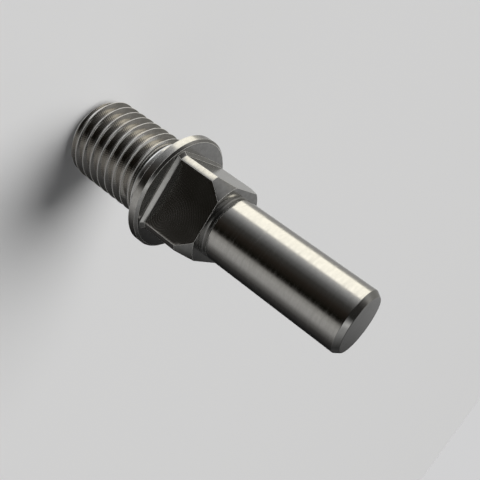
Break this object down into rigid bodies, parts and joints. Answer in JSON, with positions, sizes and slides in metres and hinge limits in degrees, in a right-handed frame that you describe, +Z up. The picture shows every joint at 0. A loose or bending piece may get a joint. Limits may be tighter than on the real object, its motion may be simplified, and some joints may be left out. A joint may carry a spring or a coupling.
{
  "type": "flanged threaded spindle",
  "caption": "Turned steel spindle with a coarse male thread, a thin round flange, a square for a spanner and a plain ground shank, standing on its thread end.",
  "frame": {"origin": "the middle of the faced thread end that the part stands on: the bottom centre of its box", "axes": "+Z up along the part's own axis, from the thread to the shank; +X and +Y square to the flats of the spanner square"},
  "size_m": [0.0274, 0.0274, 0.0768],
  "materials": {
    "machined_steel": "bright turned, milled and ground steel, uncoated"
  },
  "bodies": {
    "root": {"spindle": "machined_steel"}
  },
  "joints": []
}
